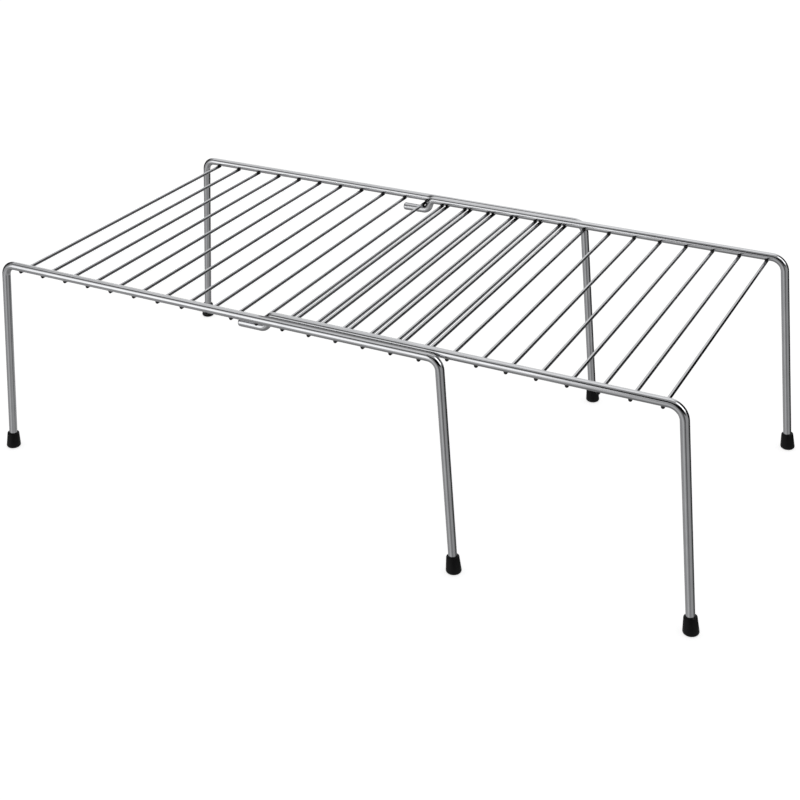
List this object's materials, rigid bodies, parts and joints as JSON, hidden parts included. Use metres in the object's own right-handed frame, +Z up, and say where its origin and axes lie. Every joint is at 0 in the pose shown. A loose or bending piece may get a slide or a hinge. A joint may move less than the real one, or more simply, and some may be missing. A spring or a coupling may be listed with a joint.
{
  "type": "extendable shelf riser",
  "caption": "Extendable chrome wire shelf riser: two nested frames on splayed legs with rubber feet, the inner frame hooked under a cross wire of the outer one.",
  "frame": {"origin": "on the floor, in the middle of the bounding box at rest", "axes": "+X along the shelf towards the inner frame's legs, +Y towards the rear, +Z up"},
  "size_m": [0.5436, 0.2766, 0.1568],
  "materials": {
    "chrome_rail": "bright nickel and chrome plate over drawn steel wire",
    "chrome_cross_wire": "bright nickel and chrome plate over drawn steel wire",
    "rubber_foot": "moulded black rubber, satin"
  },
  "bodies": {
    "outer_frame": {"outer_front_rail": "chrome_rail", "outer_rear_rail": "chrome_rail", "outer_cross_wire_01": "chrome_cross_wire", "outer_cross_wire_02": "chrome_cross_wire", "outer_cross_wire_03": "chrome_cross_wire", "outer_cross_wire_04": "chrome_cross_wire", "outer_cross_wire_05": "chrome_cross_wire", "outer_cross_wire_06": "chrome_cross_wire", "outer_cross_wire_07": "chrome_cross_wire", "outer_cross_wire_08": "chrome_cross_wire", "outer_cross_wire_09": "chrome_cross_wire", "outer_cross_wire_10": "chrome_cross_wire", "outer_cross_wire_11": "chrome_cross_wire", "outer_cross_wire_12": "chrome_cross_wire", "outer_cross_wire_13": "chrome_cross_wire", "outer_cross_wire_14": "chrome_cross_wire", "outer_cross_wire_15": "chrome_cross_wire", "outer_cross_wire_16": "chrome_cross_wire", "outer_cross_wire_17": "chrome_cross_wire", "outer_front_left_foot": "rubber_foot", "outer_front_right_foot": "rubber_foot", "outer_rear_left_foot": "rubber_foot", "outer_rear_right_foot": "rubber_foot"},
    "inner_frame": {"inner_front_rail": "chrome_rail", "inner_rear_rail": "chrome_rail", "inner_cross_wire_01": "chrome_cross_wire", "inner_cross_wire_02": "chrome_cross_wire", "inner_cross_wire_03": "chrome_cross_wire", "inner_cross_wire_04": "chrome_cross_wire", "inner_cross_wire_05": "chrome_cross_wire", "inner_cross_wire_06": "chrome_cross_wire", "inner_cross_wire_07": "chrome_cross_wire", "inner_cross_wire_08": "chrome_cross_wire", "inner_cross_wire_09": "chrome_cross_wire", "inner_cross_wire_10": "chrome_cross_wire", "inner_cross_wire_11": "chrome_cross_wire", "inner_cross_wire_12": "chrome_cross_wire", "inner_cross_wire_13": "chrome_cross_wire", "inner_cross_wire_14": "chrome_cross_wire", "inner_front_foot": "rubber_foot", "inner_rear_foot": "rubber_foot"}
  },
  "joints": [
    {"name": "extension", "type": "slide", "parent": "outer_frame", "child": "inner_frame", "axis": [1, 0, 0], "range_m": [-0.14, 0.1]}
  ]
}
